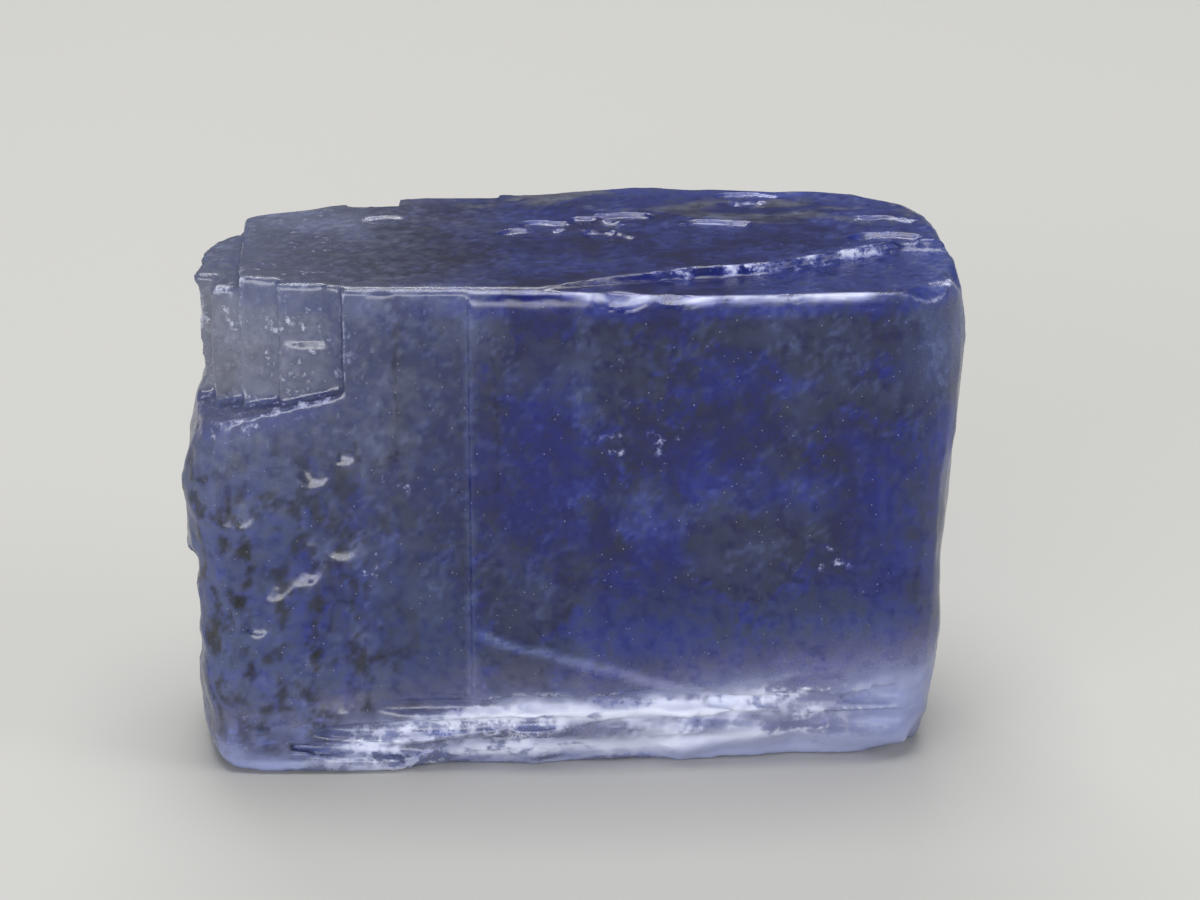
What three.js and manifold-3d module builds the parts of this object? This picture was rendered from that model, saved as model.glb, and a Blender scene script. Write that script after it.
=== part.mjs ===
// A blue halite crystal: one cleavage block of rock salt, about 31 mm wide, standing on its flat underside.
// Millimetres, +Z up, +X along the long side, and -Y is the broad face that is seen in the photograph.
// The block is an extruded plan whose ends lean and bulge. Cleavage steps, chips and dissolution hollows are
// cut out of it, because halite splits in flat planes at right angles and wears away in rounded scoops.

import * as THREE from "three";
import { ImprovedNoise } from "three/addons/math/ImprovedNoise.js";
import { mergeVertices } from "three/addons/utils/BufferGeometryUtils.js";
import Module from "manifold-3d";

// Driving dimensions
const WIDTH = 31;
const HEIGHT = 20;
const FRONT = -7;
const BACK = 7.8;
const HALF = WIDTH / 2;
const WORN_EDGE = 0.55;
const FLAKE_CORNERS = 9;
const WALL_STEPS = 22;
const OUTLINE_POINTS = 92;
const PAST = 2;

// The front face turns slightly back from FRONT_BEND_X to its right end
const FRONT_BEND_X = 0.5;
const FRONT_END_X = 12;
const FRONT_RECEDE = 0.95;

// Cleavage steps: how far each one is set below the face beside it
const SEAM_X = -3.9;
const SEAM_STEP = 0.25;
const BAND_DROP = 0.4;
const BAND_START_X = 4.6;
const BAND_RUN_IN = 0.06;
const LEFT_LEDGE_DROP = 0.75;
const LEFT_LEDGE_X = -13;
const CORNER_X = -8.7;
const CORNER_FLOOR = 15.8;
const CORNER_SLOPE = 0.26;
const CORNER_NOTCH = 17.6;

// How strongly dissolution has moved the walls
const LEFT_WEAR = 0.6;
const RIGHT_WEAR = 0.25;
const BACK_WEAR = 0.5;

// The undercut along the lower front edge
const UNDERCUT_RISE = 3.6;
const UNDERCUT_DEPTH = 1.25;
const UNDERCUT_FOOT = 0.35;
const UNDERCUT_FADE = 1.15;
const UNDERCUT_SINK = 2.2;

// Half the width of the block at each height, as [height, reach]: the right end narrows downwards
const RIGHT_REACH = [
  [0, 0.92],
  [3.2, 0.95],
  [7.5, 0.96],
  [10, 0.972],
  [13.6, 0.992],
  [17.5, 1],
  [20, 0.985],
];
// The left end bulges at mid height and pulls in below its clear upper corner
const LEFT_REACH = [
  [0, 0.95],
  [2, 0.985],
  [5.2, 0.975],
  [6.4, 0.97],
  [8.5, 0.99],
  [11.5, 1],
  [14, 0.98],
  [15.2, 0.945],
  [17, 0.97],
  [20, 0.98],
];

const wasm = await Module();
wasm.setup();

// A small repeatable source of random numbers from 0 to 1.
function randomSource(seed) {
  let state = seed;
  return () => {
    state = (state * 1664525 + 1013904223) % 4294967296;
    return state / 4294967296;
  };
}

function solidOf(geometry) {
  const bare = geometry.clone();
  bare.deleteAttribute("normal");
  bare.deleteAttribute("uv");
  const merged = mergeVertices(bare, 1e-4);
  const vertProperties = new Float32Array(merged.attributes.position.array);
  const triVerts = new Uint32Array(merged.index.array);
  return new wasm.Manifold(new wasm.Mesh({ numProp: 3, vertProperties, triVerts }));
}

function geometryOf(solid) {
  const mesh = solid.getMesh();
  const geometry = new THREE.BufferGeometry();
  geometry.setAttribute("position", new THREE.BufferAttribute(new Float32Array(mesh.vertProperties), 3));
  geometry.setIndex(new THREE.BufferAttribute(new Uint32Array(mesh.triVerts), 1));
  return geometry;
}

// Reads a [height, reach] profile with smooth easing between its points.
function reachAt(profile, height) {
  const next = profile.findIndex(([h]) => h >= height);
  if (next === -1) return profile[profile.length - 1][1];
  if (next === 0) return profile[0][1];
  const [h0, r0] = profile[next - 1];
  const [h1, r1] = profile[next];
  return THREE.MathUtils.lerp(r0, r1, THREE.MathUtils.smoothstep(height, h0, h1));
}

// The plan of the block: flat cleavage faces with worn, rounded corners between them.
function plan() {
  const shape = new THREE.Shape();
  shape.moveTo(-12.2, FRONT);
  shape.lineTo(FRONT_BEND_X, FRONT);
  shape.lineTo(FRONT_END_X, FRONT + FRONT_RECEDE);
  shape.quadraticCurveTo(HALF - 0.3, FRONT + 1.2, HALF - 0.3, FRONT + 4.6);
  shape.lineTo(14.5, 3.2);
  shape.quadraticCurveTo(13.9, BACK - 1.5, 10.6, BACK - 1.1);
  shape.lineTo(2.8, BACK - 0.4);
  shape.lineTo(-5.7, BACK - 1.6);
  shape.lineTo(-12.4, BACK - 4);
  shape.quadraticCurveTo(-14.6, BACK - 4.8, -15, 0.5);
  shape.lineTo(-HALF + 0.3, FRONT + 3.4);
  shape.quadraticCurveTo(-HALF + 0.3, FRONT + 0.1, -12.2, FRONT);
  return shape;
}

const noise = new ImprovedNoise();

// How far dissolution has moved a wall at a point: broad swells with smaller ones on them.
function wear(x, y, z) {
  return noise.noise(x * 0.34, y * 0.34, z * 0.3) + 0.5 * noise.noise(x * 0.8, y * 0.8 + 7, z * 0.7);
}

// The uncut block: the plan pulled up, widened and narrowed towards its two ends by height, and worn at the
// left end and the back. The broad front face stays flat.
function block() {
  const outline = new THREE.Shape(plan().getSpacedPoints(OUTLINE_POINTS));
  const geometry = new THREE.ExtrudeGeometry(outline, {
    depth: HEIGHT - 2 * WORN_EDGE,
    steps: WALL_STEPS,
    bevelEnabled: true,
    bevelThickness: WORN_EDGE,
    bevelSize: WORN_EDGE,
    bevelOffset: -WORN_EDGE,
    bevelSegments: 2,
  });
  geometry.translate(0, 0, WORN_EDGE);
  const position = geometry.attributes.position;
  for (let i = 0; i < position.count; i += 1) {
    const [x, y, z] = [position.getX(i), position.getY(i), position.getZ(i)];
    const profile = x > 0 ? RIGHT_REACH : LEFT_REACH;
    const outward = THREE.MathUtils.smoothstep(Math.abs(x), 4, 12);
    const reach = THREE.MathUtils.lerp(1, reachAt(profile, z), outward);
    const leftWear = THREE.MathUtils.smoothstep(-x, 12.5, 14.5) * LEFT_WEAR;
    const rightWear = THREE.MathUtils.smoothstep(x, 13, 14.5) * RIGHT_WEAR;
    const backWear = THREE.MathUtils.smoothstep(y, 2.5, 5) * BACK_WEAR;
    const worn = wear(x, y, z);
    position.setX(i, x * reach + (leftWear + rightWear) * worn);
    position.setY(i, y + backWear * worn);
  }
  return solidOf(geometry);
}

// A box cutter between two corners, turned a little about +Z round its own centre.
function box([x0, y0, z0], [x1, y1, z1], turn = 0) {
  const geometry = new THREE.BoxGeometry(x1 - x0, y1 - y0, z1 - z0);
  geometry.rotateZ(turn);
  geometry.translate((x0 + x1) / 2, (y0 + y1) / 2, (z0 + z1) / 2);
  return solidOf(geometry);
}

// A rounded cutter: a coarse ball stretched to the given radii.
function scoop([x, y, z], [rx, ry, rz], turn = 0, detail = 1) {
  const geometry = new THREE.IcosahedronGeometry(1, detail);
  geometry.scale(rx, ry, rz);
  geometry.rotateY(turn);
  geometry.translate(x, y, z);
  return solidOf(geometry);
}

// The front face is two cleavage planes. The left one is set back behind a straight upright seam.
function seam() {
  return box([-HALF - PAST, FRONT - PAST, -PAST], [SEAM_X, FRONT + SEAM_STEP, HEIGHT + PAST]);
}

// The colourless upper left corner has split away in steps, each set further back towards the end. They share
// one floor, which slopes down to the left.
function cornerSteps() {
  const out = -HALF - PAST;
  const stairs = new THREE.Shape();
  stairs.moveTo(CORNER_X - 0.05, FRONT - PAST);
  stairs.lineTo(CORNER_X, FRONT + 0.6);
  stairs.lineTo(-11.2, FRONT + 0.85);
  stairs.lineTo(-11.1, FRONT + 1.5);
  stairs.lineTo(-12.7, FRONT + 1.8);
  stairs.lineTo(-12.6, FRONT + 2.7);
  stairs.lineTo(-13.9, FRONT + 3);
  stairs.lineTo(-13.8, FRONT + 4.4);
  stairs.lineTo(out, FRONT + 4.9);
  stairs.lineTo(out, FRONT - PAST);
  const geometry = new THREE.ExtrudeGeometry(stairs, { depth: HEIGHT + PAST, bevelEnabled: false });
  const position = geometry.attributes.position;
  for (let i = 0; i < position.count; i += 1) {
    const floor = CORNER_FLOOR + CORNER_SLOPE * (position.getX(i) - CORNER_X);
    if (position.getZ(i) < 1) position.setZ(i, floor);
  }
  const notch = box(
    [out, FRONT - PAST, CORNER_NOTCH],
    [CORNER_X - 0.7, FRONT + 1, HEIGHT + PAST],
    -0.04,
  );
  return [solidOf(geometry), notch];
}

// The top: a low band along the right half of the front edge, and a lower ledge at the left end. The band
// slopes down from the left until BAND_START_X and is level from there on.
function topSteps() {
  const runIn = new THREE.Shape();
  runIn.moveTo(-1.2, FRONT - PAST);
  runIn.lineTo(-1.2, FRONT + 0.5);
  runIn.lineTo(1.2, FRONT + 1.7);
  runIn.lineTo(BAND_START_X, FRONT + 3);
  runIn.lineTo(BAND_START_X, FRONT - PAST);
  const slope = new THREE.ExtrudeGeometry(runIn, { depth: PAST, bevelEnabled: false });
  slope.translate(-BAND_START_X, 0, 0);
  slope.rotateY(BAND_RUN_IN);
  slope.translate(BAND_START_X + 0.05, 0, HEIGHT - BAND_DROP);
  const band = new THREE.Shape();
  band.moveTo(BAND_START_X, FRONT - PAST);
  band.lineTo(BAND_START_X, FRONT + 3);
  band.lineTo(7.4, FRONT + 3.5);
  band.lineTo(9.6, FRONT + 4.7);
  band.lineTo(12.8, FRONT + 6.6);
  band.lineTo(HALF + PAST, FRONT + 6.9);
  band.lineTo(HALF + PAST, FRONT - PAST);
  const cutter = new THREE.ExtrudeGeometry(band, { depth: PAST, bevelEnabled: false });
  cutter.translate(0, 0, HEIGHT - BAND_DROP);
  const ledge = box(
    [-HALF - PAST, FRONT - PAST, HEIGHT - LEFT_LEDGE_DROP],
    [LEFT_LEDGE_X, BACK + PAST, HEIGHT + PAST],
    0.05,
  );
  const backChip = box([-9.5, 4.6, HEIGHT - 0.14], [-2.4, BACK + PAST, HEIGHT + PAST], 0.16);
  return [solidOf(slope), solidOf(cutter), ledge, backChip];
}

// How far the right part of the front face falls back from the left part, at a place along it.
function frontRecede(x) {
  return (Math.max(0, x - FRONT_BEND_X) * FRONT_RECEDE) / (FRONT_END_X - FRONT_BEND_X);
}

// The lower front edge is undercut: a sloping face that rises from the left, with long flutes along it.
function undercut() {
  const profile = new THREE.Shape();
  profile.moveTo(-PAST, -PAST);
  profile.lineTo(-PAST, UNDERCUT_RISE);
  profile.lineTo(0, UNDERCUT_RISE);
  profile.quadraticCurveTo(0.2 * UNDERCUT_DEPTH, 0.45 * UNDERCUT_RISE, UNDERCUT_DEPTH, UNDERCUT_FOOT);
  profile.lineTo(UNDERCUT_DEPTH + 2 * UNDERCUT_FOOT, -PAST);
  const geometry = new THREE.ExtrudeGeometry(profile, {
    depth: WIDTH + 2 * PAST,
    steps: 24,
    bevelEnabled: false,
    curveSegments: 5,
  });
  // The profile's (x, y) become (y, z) of the block, and its depth runs along the front edge.
  const alongEdge = new THREE.Matrix4();
  alongEdge.set(0, 0, 1, -HALF - PAST, 1, 0, 0, FRONT, 0, 1, 0, 0, 0, 0, 0, 1);
  geometry.applyMatrix4(alongEdge);
  const position = geometry.attributes.position;
  for (let i = 0; i < position.count; i += 1) {
    const x = position.getX(i);
    const fade = THREE.MathUtils.smoothstep(x, -13.5, -2) - 1;
    const wave = 0.22 * Math.sin(x * 0.9) + 0.14 * Math.sin(x * 2.3 + 1);
    position.setY(i, position.getY(i) + UNDERCUT_FADE * fade + frontRecede(x) + 0.3 * wave);
    position.setZ(i, position.getZ(i) + UNDERCUT_SINK * fade + wave);
  }
  return solidOf(geometry);
}

// Long shallow flutes in three rows along the undercut.
function flutes() {
  const next = randomSource(11);
  const cutters = [];
  for (let i = 0; i < 15; i += 1) {
    const x = -8.5 + i * 1.55 + next() * 0.8;
    const level = 0.9 + (i % 3) * 0.95 + next() * 0.3;
    const sunk = FRONT + frontRecede(x) + 0.05 + (UNDERCUT_RISE - level) * 0.16;
    const radii = [2.8 + next() * 1.9, 0.34, 0.36 + next() * 0.14];
    cutters.push(scoop([x, sunk, level], radii, (next() - 0.5) * 0.12));
  }
  return cutters;
}

// Dissolution hollows that run into each other over the left end and the low left part of the front face.
function leftHollows() {
  const next = randomSource(7);
  const cutters = [];
  for (let i = 0; i < 22; i += 1) {
    const y = FRONT + 0.8 + next() * 9.4;
    const z = 1.6 + (i / 22) * 12.6 + next() * 0.8;
    const size = 1 + next() * 1.1;
    const x = -HALF * reachAt(LEFT_REACH, z) - 0.05;
    cutters.push(scoop([x, y, z], [0.55, size, size * (0.7 + next() * 0.6)], (next() - 0.5) * 0.6));
  }
  for (let i = 0; i < 18; i += 1) {
    const x = -14.6 + next() * 6.2;
    const z = 2.4 + (i / 18) * 11.2 + next() * 0.8;
    const size = 0.7 + next() * 0.9;
    cutters.push(scoop([x, FRONT + SEAM_STEP - 0.24, z], [size, 0.42, size * (0.9 + next())]));
  }
  return cutters;
}

// Thin flakes lost from the top, most of them towards the back right. Each is a ragged patch, long along X.
function topFlakes() {
  const next = randomSource(31);
  const cutters = [];
  for (let i = 0; i < 13; i += 1) {
    const x = -9 + Math.sqrt(next()) * 21.5;
    const y = -0.6 + next() * 6.4 - Math.max(0, -x) * 0.25;
    const length = 0.6 + next() * 1.3;
    const outline = new THREE.Shape();
    for (let k = 0; k < FLAKE_CORNERS; k += 1) {
      const angle = (k / FLAKE_CORNERS) * 2 * Math.PI;
      const reach = 0.7 + next() * 0.5;
      const corner = [length * reach * Math.cos(angle), 0.6 * reach * Math.sin(angle)];
      if (k === 0) outline.moveTo(...corner);
      else outline.lineTo(...corner);
    }
    const flake = new THREE.ExtrudeGeometry(outline, { depth: PAST, bevelEnabled: false });
    flake.rotateX((next() - 0.5) * 0.06);
    flake.rotateY((next() - 0.5) * 0.05);
    flake.translate(x, y, HEIGHT - 0.07 - next() * 0.1);
    cutters.push(solidOf(flake));
  }
  return cutters;
}

// Chips along the sharp top front edge and at the right shoulder.
function edgeChips() {
  const edge = HEIGHT - BAND_DROP;
  return [
    scoop([-7.2, FRONT + 0.1, HEIGHT], [0.9, 0.35, 0.3]),
    scoop([-1.6, FRONT - 0.05, HEIGHT], [1.2, 0.35, 0.32]),
    scoop([1.9, FRONT + 0.05, edge + 0.1], [1.1, 0.5, 0.4]),
    scoop([4.1, FRONT + 0.25, edge + 0.1], [1.3, 0.45, 0.35]),
    scoop([8.3, FRONT + 0.6, edge + 0.1], [0.8, 0.3, 0.3]),
    scoop([13.8, FRONT + 1.1, edge + 0.5], [2.7, 1.5, 0.95], 0.35, 2),
    scoop([15.3, FRONT + 3.6, edge + 0.3], [0.9, 1.9, 0.9], 0.3, 2),
    scoop([15.4, 2.8, edge + 0.6], [1.1, 1.6, 1.2], 0.4, 2),
    scoop([12.9, 7.3, edge + 0.5], [1.8, 1.1, 1.1], 0, 2),
  ];
}

// The right end: one broad shallow hollow at mid height and a sliver off the lower corner.
function rightHollows() {
  return [
    scoop([16.3, FRONT + 2.6, 10.2], [1.25, 3.6, 2.6], 0, 2),
    scoop([16, 2.6, 5.6], [1.8, 3.4, 3], 0.1, 2),
    scoop([15.9, 2, 14.5], [1.1, 2.8, 3.2], 0, 2),
    scoop([15, FRONT + 1.4, 0.4], [1.9, 3, 1.7], -0.4, 2),
    scoop([13.4, FRONT + 1.2, -0.5], [2.8, 2.8, 1.1], -0.1, 2),
  ];
}

// The back, which the photograph doesn't show, has split in right-angled steps that run out at its edges.
function backSteps() {
  const past = BACK + PAST;
  const out = HALF + PAST;
  const top = HEIGHT + PAST;
  return [
    box([5.2, BACK - 0.9, -PAST], [out, past, top], -0.05),
    box([1.6, BACK - 0.75, -PAST], [out, past, 6.3], -0.03),
    box([8.4, BACK - 1.6, -PAST], [out, past, 3.6], 0.02),
    box([-out, BACK - 1.9, 8.8], [-3.1, past, top], 0.02),
    box([-out, BACK - 3.2, 10.4], [-7.2, past, top], 0.05),
    box([-out, BACK - 4.7, -PAST], [-10.6, past, 5.4], 0.04),
    scoop([9.6, BACK - 0.4, 13.2], [5.2, 0.6, 4.4], 0.2, 2),
    scoop([-1.3, BACK, 4.6], [4.6, 0.6, 3.1], -0.3, 2),
  ];
}

// Shallow hollows run together in two places on the underside, so it rests on its rim and its middle.
function undersideHollows() {
  const next = randomSource(17);
  const cutters = [];
  for (const [x, y] of [[-8.2, -0.6], [6.6, 1]]) {
    for (let i = 0; i < 6; i += 1) {
      const at = [x + (next() - 0.5) * 5, y + (next() - 0.5) * 3.6, -0.55];
      cutters.push(scoop(at, [1.7 + next() * 1.4, 1 + next() * 0.9, 0.72 + next() * 0.16], 0, 2));
    }
  }
  return cutters;
}

function crystalGeometry() {
  const cutters = [
    seam(),
    ...cornerSteps(),
    ...topSteps(),
    undercut(),
    ...flutes(),
    ...leftHollows(),
    ...topFlakes(),
    ...edgeChips(),
    ...rightHollows(),
    ...backSteps(),
    ...undersideHollows(),
  ];
  const cut = cutters.reduce((solid, cutter) => solid.subtract(cutter), block());
  // The origin is below the middle of the block, on the surface that it stands on.
  const geometry = geometryOf(cut);
  geometry.computeBoundingBox();
  const middle = geometry.boundingBox.getCenter(new THREE.Vector3());
  geometry.translate(-middle.x, -middle.y, -geometry.boundingBox.min.z);
  return geometry;
}

const halite = new THREE.MeshStandardMaterial({
  color: new THREE.Color("#4a4f8f"),
  roughness: 0.25,
  metalness: 0,
  transparent: true,
  opacity: 0.75,
  flatShading: true,
});

const crystal = new THREE.Mesh(crystalGeometry(), halite);
crystal.name = "halite_crystal";

const part = new THREE.Group();
part.add(crystal);

export default part;
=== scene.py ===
# %% [markdown]
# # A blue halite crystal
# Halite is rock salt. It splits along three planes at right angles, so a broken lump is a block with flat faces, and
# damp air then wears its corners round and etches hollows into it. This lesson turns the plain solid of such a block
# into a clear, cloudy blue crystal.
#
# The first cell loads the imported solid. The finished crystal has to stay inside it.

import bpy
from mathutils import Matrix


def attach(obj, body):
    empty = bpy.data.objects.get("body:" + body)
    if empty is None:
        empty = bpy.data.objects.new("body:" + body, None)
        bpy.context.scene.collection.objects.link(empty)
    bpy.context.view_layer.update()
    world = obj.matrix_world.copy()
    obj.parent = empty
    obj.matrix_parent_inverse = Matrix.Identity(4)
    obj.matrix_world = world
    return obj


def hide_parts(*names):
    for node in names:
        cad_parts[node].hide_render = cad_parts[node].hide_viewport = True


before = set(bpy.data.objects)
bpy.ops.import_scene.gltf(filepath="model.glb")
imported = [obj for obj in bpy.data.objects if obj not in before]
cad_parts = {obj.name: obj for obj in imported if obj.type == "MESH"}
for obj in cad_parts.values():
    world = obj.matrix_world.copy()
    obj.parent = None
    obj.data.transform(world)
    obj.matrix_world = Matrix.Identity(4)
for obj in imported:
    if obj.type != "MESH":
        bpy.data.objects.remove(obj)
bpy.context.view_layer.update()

import math

import bmesh
import bpy
import numpy as np
from mathutils import Vector

MM = 0.001
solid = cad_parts["halite_crystal"]
print("solid:", len(solid.data.polygons), "triangles")

# %% [markdown]
# ## The camera
# The photograph looks down on the block by 20 degrees from about 15 cm away, through a long lens. The camera comes
# first, because every later choice is made by looking through it.

# %% Place the camera
CAMERA_DOWN = math.radians(20)
CAMERA_PLACE = (1.06 * MM, -147.0 * MM, 64.5 * MM)
CAMERA_SPAN = math.radians(17.5)

camera = bpy.data.objects.new("camera", bpy.data.cameras.new("camera"))
bpy.context.collection.objects.link(camera)
bpy.context.scene.camera = camera
camera.location = CAMERA_PLACE
camera.rotation_euler = (math.pi / 2 - CAMERA_DOWN, 0, 0)
camera.data.angle = CAMERA_SPAN
camera.data.clip_start = 10 * MM
print("lens:", round(camera.data.lens, 1), "mm")

# %% [markdown]
# ## Three helpers
# Colours are easiest to read as hex codes, but shaders work in linear light, so one function turns a code into a
# linear colour. A second adds a node to a tree and gives back the socket that the next node reads. A third turns an
# object with live modifiers into a plain mesh.

# %% Helpers
def linear(code):
    """Turns an sRGB hex colour into the linear one that shaders use."""
    parts = [int(code[start : start + 2], 16) / 255 for start in (1, 3, 5)]
    return [part / 12.92 if part <= 0.04045 else ((part + 0.055) / 1.055) ** 2.4 for part in parts] + [1]


def add(tree, kind, inputs=None, output=0, **settings):
    """Adds a node with its settings, gives its inputs a value or a link, and returns one of its output sockets."""
    node = tree.nodes.new(kind)
    for name, value in settings.items():
        setattr(node, name, value)
    for key, value in (inputs or {}).items():
        if isinstance(value, bpy.types.NodeSocket):
            tree.links.new(value, node.inputs[key])
        else:
            node.inputs[key].default_value = value
    return node.outputs[output] if node.outputs else node


def plain_mesh(obj, name):
    """Replaces an object that has modifiers by a plain mesh object of the same shape."""
    view = bpy.context.evaluated_depsgraph_get()
    mesh = bpy.data.meshes.new_from_object(obj.evaluated_get(view), depsgraph=view)
    mesh.name = name
    bpy.data.objects.remove(obj)
    made = bpy.data.objects.new(name, mesh)
    bpy.context.collection.objects.link(made)
    return made


# %% [markdown]
# ## An even skin
# The solid has large flat triangles, and relief needs many small faces. A voxel remesh gives faces of one size, but
# it blunts the cleavage edges, so a shrinkwrap then pulls every point back to the flat faces of the solid.

# %% Remesh the block
GRAIN = 0.18 * MM

sketch = bmesh.new()
sketch.from_mesh(solid.data)
bmesh.ops.remove_doubles(sketch, verts=sketch.verts, dist=0.001 * MM)
closed = bpy.data.meshes.new("closed_block")
sketch.to_mesh(closed)
sketch.free()
block = bpy.data.objects.new("closed_block", closed)
bpy.context.collection.objects.link(block)
remesh = block.modifiers.new("remesh", "REMESH")
remesh.mode = "VOXEL"
remesh.voxel_size = GRAIN
wrap = block.modifiers.new("wrap", "SHRINKWRAP")
wrap.target = solid
wrap.wrap_method = "NEAREST_SURFACEPOINT"
block = plain_mesh(block, "even_block")
print("even block:", 2 * len(block.data.polygons), "triangles")

# %% [markdown]
# ## Where the edges are
# Salt is soft, so its edges bruise white long before its faces do. How far each point stands out from the middle of
# its neighbours shows where the edges are. The result is kept as an attribute that later cells read.

# %% Measure the edges
EDGE_BLUR = 2
EDGE_GAIN = 6


def neighbour_mean(values, pairs, counts):
    """Mean of each point's neighbours, for one value or vector a point."""
    total = np.zeros_like(values)
    np.add.at(total, pairs[:, 0], values[pairs[:, 1]])
    np.add.at(total, pairs[:, 1], values[pairs[:, 0]])
    return total / counts.reshape((-1,) + (1,) * (values.ndim - 1))


points = np.empty(len(block.data.vertices) * 3)
block.data.vertices.foreach_get("co", points)
points = points.reshape(-1, 3)
normals = np.empty(len(points) * 3)
block.data.vertices.foreach_get("normal", normals)
normals = normals.reshape(-1, 3)
pairs = np.empty(len(block.data.edges) * 2, dtype=np.int64)
block.data.edges.foreach_get("vertices", pairs)
pairs = pairs.reshape(-1, 2)
counts = np.bincount(pairs.ravel(), minlength=len(points))
edge = ((points - neighbour_mean(points, pairs, counts)) * normals).sum(1) / GRAIN
for _ in range(EDGE_BLUR):
    edge = 0.5 * edge + 0.5 * neighbour_mean(edge, pairs, counts)
edge = np.clip(edge * EDGE_GAIN, -1, 1)
attribute = block.data.attributes.new("edge", "FLOAT", "POINT")
attribute.data.foreach_set("value", edge.astype(np.float32))
print("points on an edge:", int((edge > 0.5).sum()), "of", len(edge))

# %% [markdown]
# ## Relief
# The faces of the real crystal are not quite flat. The upright ones carry fine upright striations, the left end is
# etched into small cups, long ripples run along the undercut at the lower front edge, and the edges are chipped. Each
# of these is a rule on the place of a point, so a Geometry Nodes tree makes them all.

# %% Build the relief tree
HIGHEST_RELIEF = 0.02

relief = bpy.data.node_groups.new("relief", "GeometryNodeTree")
relief.interface.new_socket("Geometry", in_out="INPUT", socket_type="NodeSocketGeometry")
for name in ("Striation Height", "Cup Depth", "Ripple Height", "Chip Depth", "Terrace Height"):
    relief.interface.new_socket(name, in_out="INPUT", socket_type="NodeSocketFloat")
relief.interface.new_socket("Material", in_out="INPUT", socket_type="NodeSocketMaterial")
relief.interface.new_socket("Geometry", in_out="OUTPUT", socket_type="NodeSocketGeometry")
given = relief.nodes.new("NodeGroupInput").outputs
at = add(relief, "ShaderNodeVectorMath", {0: add(relief, "GeometryNodeInputPosition"), "Scale": 1 / MM},
         operation="SCALE")
x = add(relief, "ShaderNodeSeparateXYZ", {0: at}, "X")
y = add(relief, "ShaderNodeSeparateXYZ", {0: at}, "Y")
z = add(relief, "ShaderNodeSeparateXYZ", {0: at}, "Z")
edge_there = add(relief, "GeometryNodeInputNamedAttribute", {"Name": "edge"}, data_type="FLOAT")

# Upright striations: noise that changes fast along the faces and slowly upwards
upright = add(relief, "ShaderNodeVectorMath", {0: at, 1: (1.1, 1.1, 0.1)}, operation="MULTIPLY")
striation = add(relief, "ShaderNodeTexNoise", {"Vector": upright, "Scale": 1.0, "Detail": 3.0})
striation = add(relief, "ShaderNodeMath", {0: striation, 1: 0.5}, operation="SUBTRACT")
striation = add(relief, "ShaderNodeMath", {0: striation, 1: given["Striation Height"]}, operation="MULTIPLY")

# Etched cups over the left end, about a millimetre wide
cup_share = add(relief, "ShaderNodeMapRange", {"Value": x, 1: -4.5, 2: -12.5}, interpolation_type="SMOOTHSTEP")
cup_side = add(relief, "ShaderNodeMapRange", {"Value": z, 1: 19.4, 2: 18.4})
cup_share = add(relief, "ShaderNodeMath", {0: cup_share, 1: cup_side}, operation="MULTIPLY")
cup = add(relief, "ShaderNodeTexVoronoi", {"Vector": at, "Scale": 0.75, "Smoothness": 0.5}, feature="SMOOTH_F1")
small_cup = add(relief, "ShaderNodeTexVoronoi", {"Vector": at, "Scale": 1.9, "Smoothness": 0.4},
                feature="SMOOTH_F1")
cup = add(relief, "ShaderNodeMath", {0: small_cup, 1: 0.4, 2: cup}, operation="MULTIPLY_ADD")
cup = add(relief, "ShaderNodeMath", {0: cup, 1: 0.65}, operation="SUBTRACT")
cup = add(relief, "ShaderNodeMath", {0: cup, 1: cup_share}, operation="MULTIPLY")
cup = add(relief, "ShaderNodeMath", {0: cup, 1: given["Cup Depth"]}, operation="MULTIPLY")

# Long ripples along the lower front edge
ripple_share = add(relief, "ShaderNodeMapRange", {"Value": z, 1: 4.6, 2: 3.2}, interpolation_type="SMOOTHSTEP")
ripple_front = add(relief, "ShaderNodeMapRange", {"Value": y, 1: -3.0, 2: -5.5}, interpolation_type="SMOOTHSTEP")
ripple_share = add(relief, "ShaderNodeMath", {0: ripple_share, 1: ripple_front}, operation="MULTIPLY")
along = add(relief, "ShaderNodeVectorMath", {0: at, 1: (0.2, 0.9, 1.5)}, operation="MULTIPLY")
ripple = add(relief, "ShaderNodeTexNoise", {"Vector": along, "Scale": 1.0, "Detail": 2.0, "Distortion": 1.0})
ripple = add(relief, "ShaderNodeMath", {0: ripple, 1: 0.5}, operation="SUBTRACT")
ripple = add(relief, "ShaderNodeMath", {0: ripple, 1: ripple_share}, operation="MULTIPLY")
ripple = add(relief, "ShaderNodeMath", {0: ripple, 1: given["Ripple Height"]}, operation="MULTIPLY")

# Chips: edges sink where a coarse noise is high
nick = add(relief, "ShaderNodeTexNoise", {"Vector": at, "Scale": 1.1, "Detail": 3.0, "Roughness": 0.7})
nick = add(relief, "ShaderNodeMapRange", {"Value": nick, 1: 0.4, 2: 0.7})
nick = add(relief, "ShaderNodeMath", {0: nick, 1: edge_there, 2: 0.0}, operation="MULTIPLY")
nick = add(relief, "ShaderNodeMath", {0: nick, 1: 0.0}, operation="MAXIMUM")
nick = add(relief, "ShaderNodeMath", {0: nick, 1: given["Chip Depth"]}, operation="MULTIPLY")

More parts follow.
